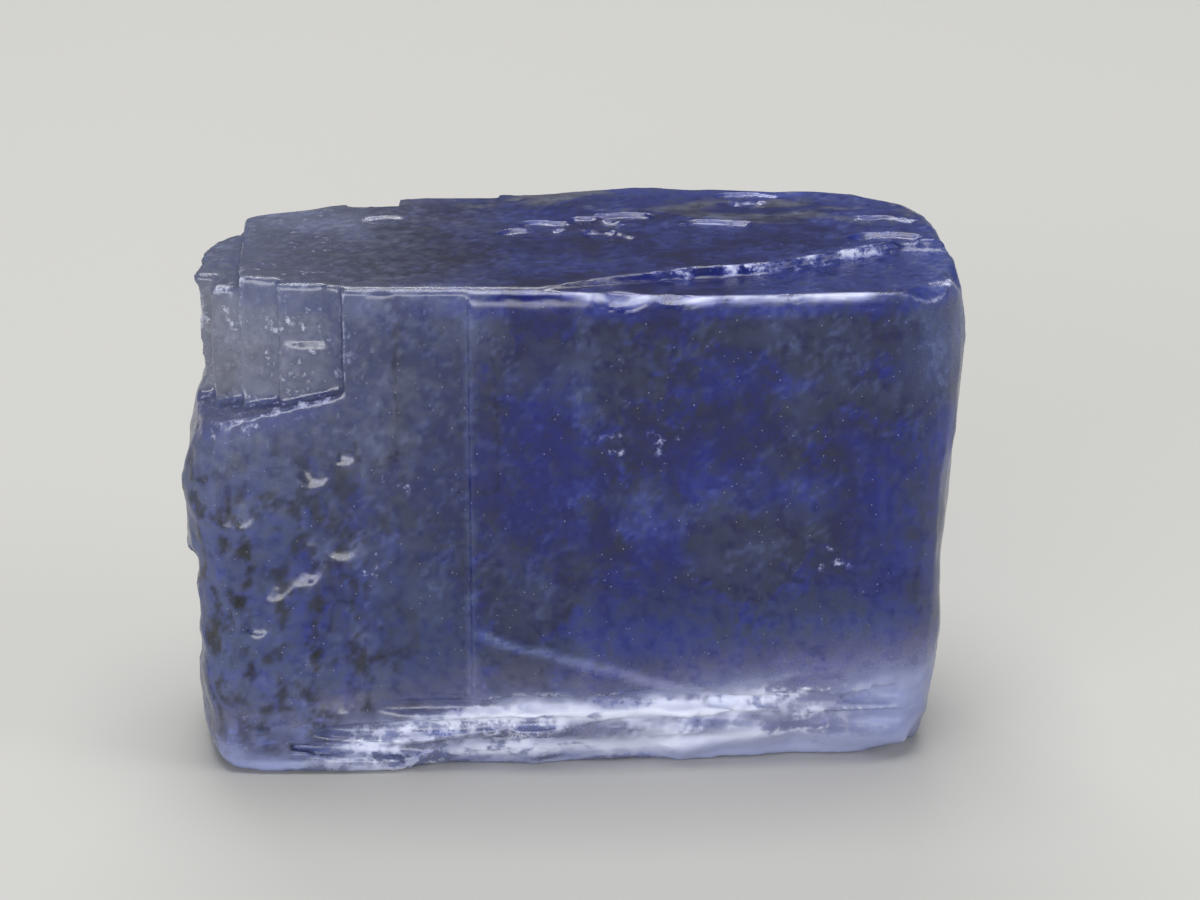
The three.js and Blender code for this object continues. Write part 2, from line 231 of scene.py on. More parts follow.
# Terraces on the right half of the top face: a broad noise cut into a few flat levels
top_share = add(relief, "ShaderNodeMapRange", {"Value": z, 1: 19.0, 2: 19.4}, interpolation_type="SMOOTHSTEP")
top_right = add(relief, "ShaderNodeMapRange", {"Value": x, 1: -3.0, 2: 4.0, 3: 0.2, 4: 1.0})
top_share = add(relief, "ShaderNodeMath", {0: top_share, 1: top_right}, operation="MULTIPLY")
terrace = add(relief, "ShaderNodeTexNoise", {"Vector": at, "Scale": 0.3, "Detail": 4.0, "Distortion": 0.8})
terrace = add(relief, "ShaderNodeMath", {0: terrace, 1: 0.08}, operation="SNAP")
terrace = add(relief, "ShaderNodeMath", {0: terrace, 1: 0.85}, operation="SUBTRACT")
terrace = add(relief, "ShaderNodeMath", {0: terrace, 1: top_share}, operation="MULTIPLY")
terrace = add(relief, "ShaderNodeMath", {0: terrace, 1: given["Terrace Height"]}, operation="MULTIPLY")

height = add(relief, "ShaderNodeMath", {0: striation, 1: cup}, operation="ADD")
height = add(relief, "ShaderNodeMath", {0: height, 1: ripple}, operation="ADD")
height = add(relief, "ShaderNodeMath", {0: height, 1: terrace}, operation="ADD")
height = add(relief, "ShaderNodeMath", {0: height, 1: nick}, operation="SUBTRACT")
height = add(relief, "ShaderNodeMath", {0: height, 1: HIGHEST_RELIEF}, operation="MINIMUM")
height = add(relief, "ShaderNodeMath", {0: height, 1: MM}, operation="MULTIPLY")
offset = add(relief, "ShaderNodeVectorMath", {0: add(relief, "GeometryNodeInputNormal"), "Scale": height},
             operation="SCALE")
moved = add(relief, "GeometryNodeSetPosition", {"Geometry": given["Geometry"], "Offset": offset})
smooth = add(relief, "GeometryNodeSetShadeSmooth", {"Geometry": moved})
painted = add(relief, "GeometryNodeSetMaterial", {"Geometry": smooth, "Material": given["Material"]})
relief.links.new(painted, relief.nodes.new("NodeGroupOutput").inputs[0])
print("relief tree:", len(relief.nodes), "nodes")

# %% [markdown]
# ## Clouds
# Blue halite is clear salt whose crystal lattice was coloured by natural radiation. The colour hangs in it in clouds,
# and clouds are slow noise. Noise takes long to work out for every ray of light, so a second tree works it out once
# for each point of the mesh and keeps it as attributes. The material then adds only what is finer than the mesh.

# %% Clouds: shared places
clouds = bpy.data.node_groups.new("clouds", "GeometryNodeTree")
clouds.interface.new_socket("Geometry", in_out="INPUT", socket_type="NodeSocketGeometry")
for name in ("Cloud Width", "Drift", "Wisp Width"):
    clouds.interface.new_socket(name, in_out="INPUT", socket_type="NodeSocketFloat")
clouds.interface.new_socket("Geometry", in_out="OUTPUT", socket_type="NodeSocketGeometry")
given = clouds.nodes.new("NodeGroupInput").outputs

at = add(clouds, "ShaderNodeVectorMath", {0: add(clouds, "GeometryNodeInputPosition"), "Scale": 1 / MM},
         operation="SCALE")
wander = add(clouds, "ShaderNodeTexNoise", {"Vector": at, "Scale": 0.4, "Detail": 5.0, "Roughness": 0.62}, "Color")
wander = add(clouds, "ShaderNodeVectorMath", {0: wander, 1: (0.5, 0.5, 0.5)}, operation="SUBTRACT")
wander = add(clouds, "ShaderNodeVectorMath", {0: wander, "Scale": given["Drift"]}, operation="SCALE")
drifted = add(clouds, "ShaderNodeVectorMath", {0: wander, 1: at}, operation="ADD")
x = add(clouds, "ShaderNodeSeparateXYZ", {0: drifted}, "X")
y = add(clouds, "ShaderNodeSeparateXYZ", {0: drifted}, "Y")
z = add(clouds, "ShaderNodeSeparateXYZ", {0: drifted}, "Z")
true_x = add(clouds, "ShaderNodeSeparateXYZ", {0: at}, "X")
true_y = add(clouds, "ShaderNodeSeparateXYZ", {0: at}, "Y")
true_z = add(clouds, "ShaderNodeSeparateXYZ", {0: at}, "Z")
top = add(clouds, "ShaderNodeMapRange", {"Value": true_z, 1: 18.6, 2: 19.2}, interpolation_type="SMOOTHSTEP")
cloud_pitch = add(clouds, "ShaderNodeMath", {0: 1.0, 1: given["Cloud Width"]}, operation="DIVIDE")
wisp_pitch = add(clouds, "ShaderNodeMath", {0: 1.0, 1: given["Wisp Width"]}, operation="DIVIDE")
cloud = add(clouds, "ShaderNodeTexNoise", {"Vector": drifted, "Scale": cloud_pitch, "Detail": 6.0, "Roughness": 0.62})
wisp = add(clouds, "ShaderNodeTexNoise", {"Vector": drifted, "Scale": wisp_pitch, "Detail": 5.0, "Roughness": 0.6})

# %% [markdown]
# The densest blue hangs in a few places, given here in mm as the middle and half size of each cloud. The drift of the
# places tears their outlines into wisps. A crack through the block, the seam, parts a greyer left from a bluer right.

# %% Clouds: blue and deep parts
BLUE_PLACES = ((-1.2, 12.4, 3.0, 4.2), (2.8, 9.4, 2.2, 2.6), (6.9, 16.2, 2.6, 0.9), (5.4, 12.4, 2.4, 1.6),
               (9.7, 11.3, 3.0, 1.2), (12.9, 8.2, 1.8, 2.3), (14.2, 13.0, 1.1, 1.8), (-9.2, 7.0, 2.8, 3.2),
               (-13.4, 10.2, 1.6, 3.0))
SEAM_X = -3.9

blue = None
for middle_x, middle_z, half_x, half_z in BLUE_PLACES:
    away = add(clouds, "ShaderNodeVectorMath", {0: drifted, 1: (middle_x, 0, middle_z)}, operation="SUBTRACT")
    away = add(clouds, "ShaderNodeVectorMath", {0: away, 1: (1 / half_x, 0, 1 / half_z)}, operation="MULTIPLY")
    away = add(clouds, "ShaderNodeVectorMath", {0: away}, "Value", operation="LENGTH")
    near = add(clouds, "ShaderNodeMapRange", {"Value": away, 1: 1.3, 2: 0.4}, interpolation_type="SMOOTHSTEP")
    blue = near if blue is None else add(clouds, "ShaderNodeMath", {0: blue, 1: near}, operation="MAXIMUM")

wisp_share = add(clouds, "ShaderNodeMapRange", {"Value": wisp, 1: 0.34, 2: 0.54, 3: 0.1, 4: 1.0})
blue = add(clouds, "ShaderNodeMath", {0: blue, 1: wisp_share}, operation="MULTIPLY")
scattered = add(clouds, "ShaderNodeMapRange", {"Value": cloud, 1: 0.5, 2: 0.61, 3: 0.0, 4: 0.75})
blue = add(clouds, "ShaderNodeMath", {0: blue, 1: scattered}, operation="MAXIMUM")
thread = add(clouds, "ShaderNodeMath", {0: cloud, 1: 0.5}, operation="SUBTRACT")
thread = add(clouds, "ShaderNodeMath", {0: thread}, operation="ABSOLUTE")
thread = add(clouds, "ShaderNodeMapRange", {"Value": thread, 1: 0.02, 2: 0.004})
thread = add(clouds, "ShaderNodeMath", {0: thread, 1: wisp_share}, operation="MULTIPLY")
blue = add(clouds, "ShaderNodeMath", {0: blue, 1: thread}, operation="MAXIMUM")
right = add(clouds, "ShaderNodeMapRange", {"Value": true_x, 1: SEAM_X - 0.1, 2: SEAM_X + 0.1, 3: 0.55, 4: 1.0})
blue = add(clouds, "ShaderNodeMath", {0: blue, 1: right}, operation="MULTIPLY")
upright = add(clouds, "ShaderNodeVectorMath", {0: drifted, 1: (1.0, 1.0, 0.45)}, operation="MULTIPLY")
freckle = add(clouds, "ShaderNodeTexNoise", {"Vector": upright, "Scale": 1.5, "Detail": 3.0, "Roughness": 0.6})
freckle_left = add(clouds, "ShaderNodeMapRange", {"Value": x, 1: -5.0, 2: -8.0})
freckle_low = add(clouds, "ShaderNodeMapRange", {"Value": z, 1: 15.0, 2: 12.0})
freckled = add(clouds, "ShaderNodeMath", {0: freckle_left, 1: freckle_low}, operation="MULTIPLY")
blue_freckle = add(clouds, "ShaderNodeMapRange", {"Value": freckle, 1: 0.5, 2: 0.64})
blue_freckle = add(clouds, "ShaderNodeMath", {0: blue_freckle, 1: freckled}, operation="MULTIPLY")
blue = add(clouds, "ShaderNodeMath", {0: blue, 1: blue_freckle}, operation="MAXIMUM")
pale_freckle = add(clouds, "ShaderNodeMapRange", {"Value": freckle, 1: 0.48, 2: 0.38, 3: 0.0, 4: 0.5})
pale_freckle = add(clouds, "ShaderNodeMath", {0: pale_freckle, 1: freckled}, operation="MULTIPLY")
top_blue = add(clouds, "ShaderNodeMapRange", {"Value": x, 1: -10.0, 2: 7.0, 3: 0.05, 4: 0.75})
top_blue = add(clouds, "ShaderNodeMath", {0: wisp_share, 1: 0.5, 2: top_blue}, operation="MULTIPLY_ADD")
blue = add(clouds, "ShaderNodeMix", {0: top, 2: blue, 3: top_blue})
deep = add(clouds, "ShaderNodeMapRange", {"Value": x, 1: SEAM_X - 1.5, 2: SEAM_X + 1.0})
deep_cloud = add(clouds, "ShaderNodeMapRange", {"Value": cloud, 1: 0.34, 2: 0.5, 3: 1.0, 4: 0.6})
deep = add(clouds, "ShaderNodeMath", {0: deep, 1: deep_cloud}, operation="MULTIPLY")
# Darker grey-green spots on the lower left end, with less haze in them
dark_spot = add(clouds, "ShaderNodeTexNoise", {"Vector": upright, "Scale": 1.7, "Detail": 2.0})
dark_spot = add(clouds, "ShaderNodeMapRange", {"Value": dark_spot, 1: 0.52, 2: 0.62})
dark_spot = add(clouds, "ShaderNodeMath", {0: dark_spot, 1: freckled}, operation="MULTIPLY")

# %% Clouds: colourless parts
CORNER_X = -8.7
CORNER_FLOOR = 15.8
CORNER_SLOPE = 0.26

above = add(clouds, "ShaderNodeMath", {0: true_x, 1: -CORNER_SLOPE, 2: true_z}, operation="MULTIPLY_ADD")
above = add(clouds, "ShaderNodeMath", {0: above, 1: CORNER_FLOOR - CORNER_SLOPE * CORNER_X}, operation="SUBTRACT")
over_floor = add(clouds, "ShaderNodeMapRange", {"Value": above, 1: 0.1, 2: 0.35})
beside = add(clouds, "ShaderNodeMapRange", {"Value": x, 1: CORNER_X + 1.5, 2: CORNER_X - 1})
corner = add(clouds, "ShaderNodeMath", {0: over_floor, 1: beside}, operation="MULTIPLY")
top_cloudy = add(clouds, "ShaderNodeMapRange", {"Value": top, 3: 1.0, 4: 0.5})
corner = add(clouds, "ShaderNodeMath", {0: corner, 1: top_cloudy}, operation="MULTIPLY")
upper = add(clouds, "ShaderNodeMapRange", {"Value": z, 1: 9.0, 2: 16.0, 3: 0.1, 4: 0.55})
upper_left = add(clouds, "ShaderNodeMapRange", {"Value": x, 1: -2.0, 2: -7.0})
upper_left = add(clouds, "ShaderNodeMath", {0: upper, 1: upper_left}, operation="MULTIPLY")
low = add(clouds, "ShaderNodeMapRange", {"Value": z, 1: 6.5, 2: 2.0, 3: 0.0, 4: 0.35}, interpolation_type="SMOOTHSTEP")
clear = add(clouds, "ShaderNodeMath", {0: corner, 1: upper_left}, operation="MAXIMUM")
clear = add(clouds, "ShaderNodeMath", {0: clear, 1: low}, operation="MAXIMUM")
window = add(clouds, "ShaderNodeVectorMath", {0: drifted, 1: (0.28, 0.6, 0.3)}, operation="MULTIPLY")
window = add(clouds, "ShaderNodeTexNoise", {"Vector": window, "Scale": 1.0, "Detail": 3.0})
window = add(clouds, "ShaderNodeMapRange", {"Value": window, 1: 0.52, 2: 0.6, 3: 0.0, 4: 0.9})
window_back = add(clouds, "ShaderNodeMapRange", {"Value": y, 1: 0.0, 2: 3.0})
window = add(clouds, "ShaderNodeMath", {0: window, 1: window_back}, operation="MULTIPLY")
window = add(clouds, "ShaderNodeMath", {0: window, 1: top}, operation="MULTIPLY")
clear = add(clouds, "ShaderNodeMath", {0: clear, 1: window}, operation="MAXIMUM")
line_low = add(clouds, "ShaderNodeMapRange", {"Value": above, 1: -0.9, 2: -0.5})
line_high = add(clouds, "ShaderNodeMapRange", {"Value": above, 1: 0.3, 2: 0.0})
line = add(clouds, "ShaderNodeMath", {0: line_low, 1: line_high}, operation="MULTIPLY")
line = add(clouds, "ShaderNodeMath", {0: line, 1: beside}, operation="MULTIPLY")
blue = add(clouds, "ShaderNodeMath", {0: blue, 1: line}, operation="MAXIMUM")

# %% Clouds: painted glints at small flaws
# The clear corner and the line under it are full of small flaws, and the glints they flash are painted into the
# colour. They also stand in a few groups elsewhere, given as the middle and half size of each in mm
FLAW_GLINT_PLACES = ((2.5, 13.8, 1.7, 0.45), (9.6, 8.9, 1.4, 0.5), (-6.8, 12.0, 0.5, 0.5), (-4.4, 12.0, 0.4, 0.4),
               (-7.8, 8.6, 0.4, 1.9))

flaw_glint_share = add(clouds, "ShaderNodeMapRange", {"Value": true_z, 1: 18.5, 2: 19.7, 3: 1.0, 4: 1.3})
flaw_glint_share = add(clouds, "ShaderNodeMath", {0: flaw_glint_share, 1: corner}, operation="MULTIPLY")
flaw_glint_share = add(clouds, "ShaderNodeMath", {0: flaw_glint_share, 1: line}, operation="MAXIMUM")
for middle_x, middle_z, half_x, half_z in FLAW_GLINT_PLACES:
    away = add(clouds, "ShaderNodeVectorMath", {0: at, 1: (middle_x, 0, middle_z)}, operation="SUBTRACT")
    away = add(clouds, "ShaderNodeVectorMath", {0: away, 1: (1 / half_x, 0, 1 / half_z)}, operation="MULTIPLY")
    away = add(clouds, "ShaderNodeVectorMath", {0: away}, "Value", operation="LENGTH")
    near = add(clouds, "ShaderNodeMapRange", {"Value": away, 1: 1.4, 2: 0.8})
    flaw_glint_share = add(clouds, "ShaderNodeMath", {0: flaw_glint_share, 1: near}, operation="MAXIMUM")

# %% [markdown]
# Haze is where the salt is full of bubbles too small to see. It is thick in both ends and above the lower edge. A
# healed crack shows as a pale arc that falls to the right, and another as a faint upright band.

# %% Clouds: haze
ARC_HEIGHT = 4.85
ARC_SLOPE = -0.31
ARC_REACH = (-3.8, 8.0)
BAND_X = 0.4
BAND_HALF = 0.5

haze = add(clouds, "ShaderNodeMapRange", {"Value": cloud, 1: 0.54, 2: 0.36, 3: 0.0, 4: 0.4})
end_left = add(clouds, "ShaderNodeMapRange", {"Value": x, 1: -7.0, 2: -13.5, 3: 0.0, 4: 0.5})
end_right = add(clouds, "ShaderNodeMapRange", {"Value": x, 1: 11.0, 2: 15.0, 3: 0.0, 4: 0.45})
foot = add(clouds, "ShaderNodeMapRange", {"Value": z, 1: 9.5, 2: 3.2})
foot_share = add(clouds, "ShaderNodeMapRange", {"Value": x, 1: 0.0, 2: 11.0, 3: 0.45, 4: 0.8})
foot = add(clouds, "ShaderNodeMath", {0: foot, 1: foot_share}, operation="MULTIPLY")
shoulder = add(clouds, "ShaderNodeVectorMath", {0: drifted, 1: (14.5, 0, 17.5)}, operation="SUBTRACT")
shoulder = add(clouds, "ShaderNodeVectorMath", {0: shoulder, 1: (1 / 2.6, 0, 1 / 4)}, operation="MULTIPLY")
shoulder = add(clouds, "ShaderNodeVectorMath", {0: shoulder}, "Value", operation="LENGTH")
shoulder = add(clouds, "ShaderNodeMapRange", {"Value": shoulder, 1: 1.3, 2: 0.3, 3: 0.0, 4: 0.65})
haze = add(clouds, "ShaderNodeMath", {0: haze, 1: shoulder}, operation="MAXIMUM")
veil = add(clouds, "ShaderNodeMath", {0: wisp, 1: 0.52}, operation="SUBTRACT")
veil = add(clouds, "ShaderNodeMath", {0: veil}, operation="ABSOLUTE")
veil = add(clouds, "ShaderNodeMapRange", {"Value": veil, 1: 0.025, 2: 0.0, 3: 0.0, 4: 0.28})
haze = add(clouds, "ShaderNodeMath", {0: haze, 1: veil}, operation="ADD")
haze = add(clouds, "ShaderNodeMath", {0: haze, 1: pale_freckle}, operation="MAXIMUM")
top_haze = add(clouds, "ShaderNodeMapRange", {"Value": x, 1: -4.0, 2: -12.0, 3: 0.05, 4: 0.3})
top_haze = add(clouds, "ShaderNodeMath", {0: top_haze, 1: top}, operation="MULTIPLY")
haze = add(clouds, "ShaderNodeMath", {0: haze, 1: top_haze}, operation="ADD")
arc = add(clouds, "ShaderNodeMath", {0: true_x, 1: -ARC_SLOPE, 2: true_z}, operation="MULTIPLY_ADD")
arc_wave = add(clouds, "ShaderNodeMath", {0: wisp, 1: 0.8, 2: arc}, operation="MULTIPLY_ADD")
arc = add(clouds, "ShaderNodeMath", {0: arc_wave, 1: ARC_HEIGHT + 0.4}, operation="SUBTRACT")
arc = add(clouds, "ShaderNodeMath", {0: arc}, operation="ABSOLUTE")
arc = add(clouds, "ShaderNodeMapRange", {"Value": arc, 1: 0.4, 2: 0.0, 3: 0.0, 4: 0.55},
          interpolation_type="SMOOTHSTEP")
arc_start = add(clouds, "ShaderNodeMapRange", {"Value": true_x, 1: ARC_REACH[0], 2: ARC_REACH[0] + 0.2})
arc_end = add(clouds, "ShaderNodeMapRange", {"Value": true_x, 1: ARC_REACH[1], 2: ARC_REACH[1] - 4})
arc = add(clouds, "ShaderNodeMath", {0: arc, 1: arc_start}, operation="MULTIPLY")
arc = add(clouds, "ShaderNodeMath", {0: arc, 1: arc_end}, operation="MULTIPLY")
upright_band = add(clouds, "ShaderNodeMath", {0: true_x, 1: BAND_X}, operation="SUBTRACT")
upright_band = add(clouds, "ShaderNodeMath", {0: upright_band}, operation="ABSOLUTE")
upright_band = add(clouds, "ShaderNodeMapRange", {"Value": upright_band, 1: BAND_HALF, 2: 0.2, 3: 0.0, 4: 0.12})
haze = add(clouds, "ShaderNodeMath", {0: haze, 1: end_left}, operation="MAXIMUM")
haze = add(clouds, "ShaderNodeMath", {0: haze, 1: end_right}, operation="MAXIMUM")
haze = add(clouds, "ShaderNodeMath", {0: haze, 1: foot}, operation="MAXIMUM")
far_side = add(clouds, "ShaderNodeMapRange", {"Value": y, 1: 3.0, 2: 6.5, 3: 0.0, 4: 0.5})
haze = add(clouds, "ShaderNodeMath", {0: haze, 1: far_side}, operation="MAXIMUM")
seam_away = add(clouds, "ShaderNodeMath", {0: true_x, 1: SEAM_X}, operation="SUBTRACT")
seam_away = add(clouds, "ShaderNodeMath", {0: seam_away}, operation="ABSOLUTE")
seam_line = add(clouds, "ShaderNodeMapRange", {"Value": seam_away, 1: 0.25, 2: 0.1, 3: 0.0, 4: 0.4})
seam_line = add(clouds, "ShaderNodeMath", {0: seam_line, 1: wisp_share}, operation="MULTIPLY")
off_top = add(clouds, "ShaderNodeMath", {0: 1.0, 1: top}, operation="SUBTRACT")
seam_line = add(clouds, "ShaderNodeMath", {0: seam_line, 1: off_top}, operation="MULTIPLY")
upright_band = add(clouds, "ShaderNodeMath", {0: upright_band, 1: off_top}, operation="MULTIPLY")
haze = add(clouds, "ShaderNodeMath", {0: haze, 1: seam_line}, operation="ADD")
haze = add(clouds, "ShaderNodeMath", {0: haze, 1: arc}, operation="ADD")
haze = add(clouds, "ShaderNodeMath", {0: haze, 1: upright_band}, operation="ADD", use_clamp=True)
off_spot = add(clouds, "ShaderNodeMapRange", {"Value": dark_spot, 3: 1.0, 4: 0.3})
haze = add(clouds, "ShaderNodeMath", {0: haze, 1: off_spot}, operation="MULTIPLY")

# %% [markdown]
# The undercut along the lower front edge carries painted light: a white band, painted like frost, stands for the light
# that the undercut sends towards the camera. The height where that band ends rises from left to right.

# %% Clouds: painted light on the foot
DARK_ROW = 2.2

foot_rise = add(clouds, "ShaderNodeMapRange", {"Value": true_x, 1: -12.0, 2: -3.5, 3: 1.0, 4: 3.1})
foot_right = add(clouds, "ShaderNodeMapRange", {"Value": true_x, 1: 3.0, 2: 9.0, 3: 0.0, 4: 0.8})
foot_top = add(clouds, "ShaderNodeMath", {0: foot_rise, 1: foot_right}, operation="ADD")
foot_top = add(clouds, "ShaderNodeMath", {0: wisp, 1: 1.2, 2: foot_top}, operation="MULTIPLY_ADD")
under = add(clouds, "ShaderNodeMath", {0: foot_top, 1: true_z}, operation="SUBTRACT")
frost_and_painted_light = add(clouds, "ShaderNodeMapRange", {"Value": under, 1: 0.1, 2: 1.2}, interpolation_type="SMOOTHSTEP")
foot_light_front = add(clouds, "ShaderNodeMapRange", {"Value": y, 1: 0.0, 2: -5.5, 3: 0.1, 4: 1.0},
                  interpolation_type="SMOOTHSTEP")
frost_and_painted_light = add(clouds, "ShaderNodeMath", {0: frost_and_painted_light, 1: foot_light_front}, operation="MULTIPLY")
# A darker row runs through the middle of the painted light, and its lowest row and its right end are painted milky
# lilac rather than white
row = add(clouds, "ShaderNodeMath", {0: under, 1: DARK_ROW}, operation="SUBTRACT")
row = add(clouds, "ShaderNodeMath", {0: row}, operation="ABSOLUTE")
row = add(clouds, "ShaderNodeMapRange", {"Value": row, 1: 0.9, 2: 0.1}, interpolation_type="SMOOTHSTEP")
row_share = add(clouds, "ShaderNodeMapRange", {"Value": wisp, 1: 0.4, 2: 0.58, 3: 0.15, 4: 1.0})
row = add(clouds, "ShaderNodeMath", {0: row, 1: row_share}, operation="MULTIPLY")
plain_end = add(clouds, "ShaderNodeMapRange", {"Value": x, 1: 9.5, 2: 12.0})
not_end = add(clouds, "ShaderNodeMath", {0: 1.0, 1: plain_end}, operation="SUBTRACT")
row = add(clouds, "ShaderNodeMath", {0: row, 1: not_end}, operation="MULTIPLY")
painted_milky_light = add(clouds, "ShaderNodeMapRange", {"Value": row, 3: 0.8, 4: 0.2})
milk_top = add(clouds, "ShaderNodeMapRange", {"Value": under, 1: -0.9, 2: 1.3}, interpolation_type="SMOOTHSTEP")
painted_milky_light = add(clouds, "ShaderNodeMath", {0: milk_top, 1: painted_milky_light}, operation="MULTIPLY")
painted_milky_light = add(clouds, "ShaderNodeMath", {0: foot_light_front, 1: painted_milky_light}, operation="MULTIPLY")
bottom = add(clouds, "ShaderNodeMapRange", {"Value": under, 1: 2.9, 2: 3.5, 3: 1.0, 4: 0.45})
snow = add(clouds, "ShaderNodeMapRange", {"Value": row, 3: 1.0, 4: 0.3})
snow = add(clouds, "ShaderNodeMath", {0: snow, 1: bottom}, operation="MULTIPLY")
snow_left = add(clouds, "ShaderNodeMapRange", {"Value": x, 1: -11.5, 2: -8.5, 3: 0.15, 4: 1.0})
snow = add(clouds, "ShaderNodeMath", {0: snow, 1: snow_left}, operation="MULTIPLY")
snow = add(clouds, "ShaderNodeMix", {0: plain_end, 2: snow, 3: 0.25})
long = add(clouds, "ShaderNodeVectorMath", {0: at, 1: (0.135, 0.45, 0.72)}, operation="MULTIPLY")
ribbon = add(clouds, "ShaderNodeTexNoise", {"Vector": long, "Scale": 1.0, "Detail": 3.0, "Roughness": 0.6})
# Dark gaps stay between the white lines, except at the right end
gap = add(clouds, "ShaderNodeMapRange", {"Value": ribbon, 1: 0.4, 2: 0.5, 3: 0.3, 4: 1.0})
gap = add(clouds, "ShaderNodeMix", {0: plain_end, 2: gap, 3: 1.0})
painted_milky_light = add(clouds, "ShaderNodeMath", {0: painted_milky_light, 1: gap}, operation="MULTIPLY")
frost_and_painted_light = add(clouds, "ShaderNodeMath", {0: frost_and_painted_light, 1: snow}, operation="MULTIPLY")
rose = add(clouds, "ShaderNodeMapRange", {"Value": under, 1: -1.8, 2: 0.0, 3: 0.0, 4: 0.7})
rose = add(clouds, "ShaderNodeMath", {0: rose, 1: foot_light_front}, operation="MULTIPLY")

# %% [markdown]
# Bruised edges are white, but not all alike: sharp edges that stand free took the knocks, and the seam, the clear
# corner, the top and the lower left end show less of it.

# %% Clouds: bruised edges
edge_there = add(clouds, "GeometryNodeInputNamedAttribute", {"Name": "edge"}, data_type="FLOAT")
seam_calm = add(clouds, "ShaderNodeMapRange", {"Value": seam_away, 1: 0.3, 2: 0.7, 3: 0.3, 4: 1.0})
edge_there = add(clouds, "ShaderNodeMath", {0: edge_there, 1: seam_calm}, operation="MULTIPLY")
corner_calm = add(clouds, "ShaderNodeMapRange", {"Value": corner, 3: 1.0, 4: 0.75})
edge_there = add(clouds, "ShaderNodeMath", {0: edge_there, 1: corner_calm}, operation="MULTIPLY")
back = add(clouds, "ShaderNodeMapRange", {"Value": true_y, 1: -4.0, 2: -1.5})
back_top = add(clouds, "ShaderNodeMath", {0: top, 1: back}, operation="MULTIPLY")
glinting = add(clouds, "ShaderNodeMapRange", {"Value": wisp, 1: 0.5, 2: 0.6, 3: 0.0, 4: 0.4})
top_calm = add(clouds, "ShaderNodeMix", {0: back_top, 2: 1.0, 3: glinting})
edge_there = add(clouds, "ShaderNodeMath", {0: edge_there, 1: top_calm}, operation="MULTIPLY")
low_left = add(clouds, "ShaderNodeMapRange", {"Value": true_x, 1: -7.5, 2: -9.5})
low_left_calm = add(clouds, "ShaderNodeMapRange", {"Value": true_z, 1: 3.5, 2: 2.0, 3: 0.0, 4: 0.75})
low_left_calm = add(clouds, "ShaderNodeMath", {0: low_left_calm, 1: low_left}, operation="MULTIPLY")
low_left_calm = add(clouds, "ShaderNodeMath", {0: 1.0, 1: low_left_calm}, operation="SUBTRACT")
edge_there = add(clouds, "ShaderNodeMath", {0: edge_there, 1: low_left_calm}, operation="MULTIPLY")

# %% Clouds: the upper front edge
# A white line runs along its whole length, partly bruising and partly a painted highlight. It runs back to the right
# and drops a little there
FRONT_MIDDLE = -7.3
FRONT_RIGHT = -6.36
lean = add(clouds, "ShaderNodeMapRange", {"Value": true_x, 1: 0.0, 2: 12.0, 3: FRONT_MIDDLE, 4: FRONT_RIGHT})
behind = add(clouds, "ShaderNodeMath", {0: true_y, 1: lean}, operation="SUBTRACT")
near_front = add(clouds, "ShaderNodeMapRange", {"Value": behind, 1: 0.45, 2: 0.25})
lip = add(clouds, "ShaderNodeMapRange", {"Value": true_x, 1: -1.0, 2: 2.0, 3: 19.7, 4: 19.2})
over_lip = add(clouds, "ShaderNodeMath", {0: true_z, 1: lip}, operation="SUBTRACT")
near_top = add(clouds, "ShaderNodeMapRange", {"Value": over_lip, 1: 0.05, 2: 0.25})
rim = add(clouds, "ShaderNodeMath", {0: near_front, 1: near_top}, operation="MULTIPLY")
off_rim = add(clouds, "ShaderNodeMath", {0: 1.0, 1: rim}, operation="SUBTRACT")
edge_there = add(clouds, "ShaderNodeMath", {0: edge_there, 1: off_rim}, operation="MULTIPLY")
# A frosted strip also follows the step that crosses the top, given as points in mm
STEP_LINE = ((-1.2, -6.8), (1.2, -5.6), (4.6, -4.3), (7.4, -3.8), (9.6, -2.6), (12.8, -0.7))
step_y = STEP_LINE[0][1]
for (start_x, start_y), (end_x, end_y) in zip(STEP_LINE, STEP_LINE[1:]):
    rise = add(clouds, "ShaderNodeMapRange", {"Value": true_x, 1: start_x, 2: end_x, 3: 0.0, 4: end_y - start_y})
    step_y = add(clouds, "ShaderNodeMath", {0: rise, 1: step_y}, operation="ADD")
past_step = add(clouds, "ShaderNodeMath", {0: true_y, 1: step_y}, operation="SUBTRACT")
past_step = add(clouds, "ShaderNodeMath", {0: wisp, 1: -0.8, 2: past_step}, operation="MULTIPLY_ADD")
past_step = add(clouds, "ShaderNodeMath", {0: past_step, 1: 0.4}, operation="ADD")
strip = add(clouds, "ShaderNodeMath", {0: past_step}, operation="ABSOLUTE")
strip = add(clouds, "ShaderNodeMapRange", {"Value": strip, 1: 0.35, 2: 0.1})
strip_right = add(clouds, "ShaderNodeMapRange", {"Value": true_x, 1: 2.0, 2: 4.5})
strip = add(clouds, "ShaderNodeMath", {0: strip, 1: strip_right}, operation="MULTIPLY")
strip = add(clouds, "ShaderNodeMath", {0: strip, 1: top}, operation="MULTIPLY")
strip_share = add(clouds, "ShaderNodeMapRange", {"Value": wisp, 1: 0.4, 2: 0.52, 3: 0.2, 4: 1.0})
strip = add(clouds, "ShaderNodeMath", {0: strip, 1: strip_share}, operation="MULTIPLY")
edge_there = add(clouds, "ShaderNodeMath", {0: edge_there, 1: strip}, operation="MAXIMUM")
rim_share = add(clouds, "ShaderNodeMapRange", {"Value": wisp, 1: 0.38, 2: 0.58, 3: 0.25, 4: 1.0})
rim = add(clouds, "ShaderNodeMath", {0: rim, 1: rim_share}, operation="MULTIPLY")

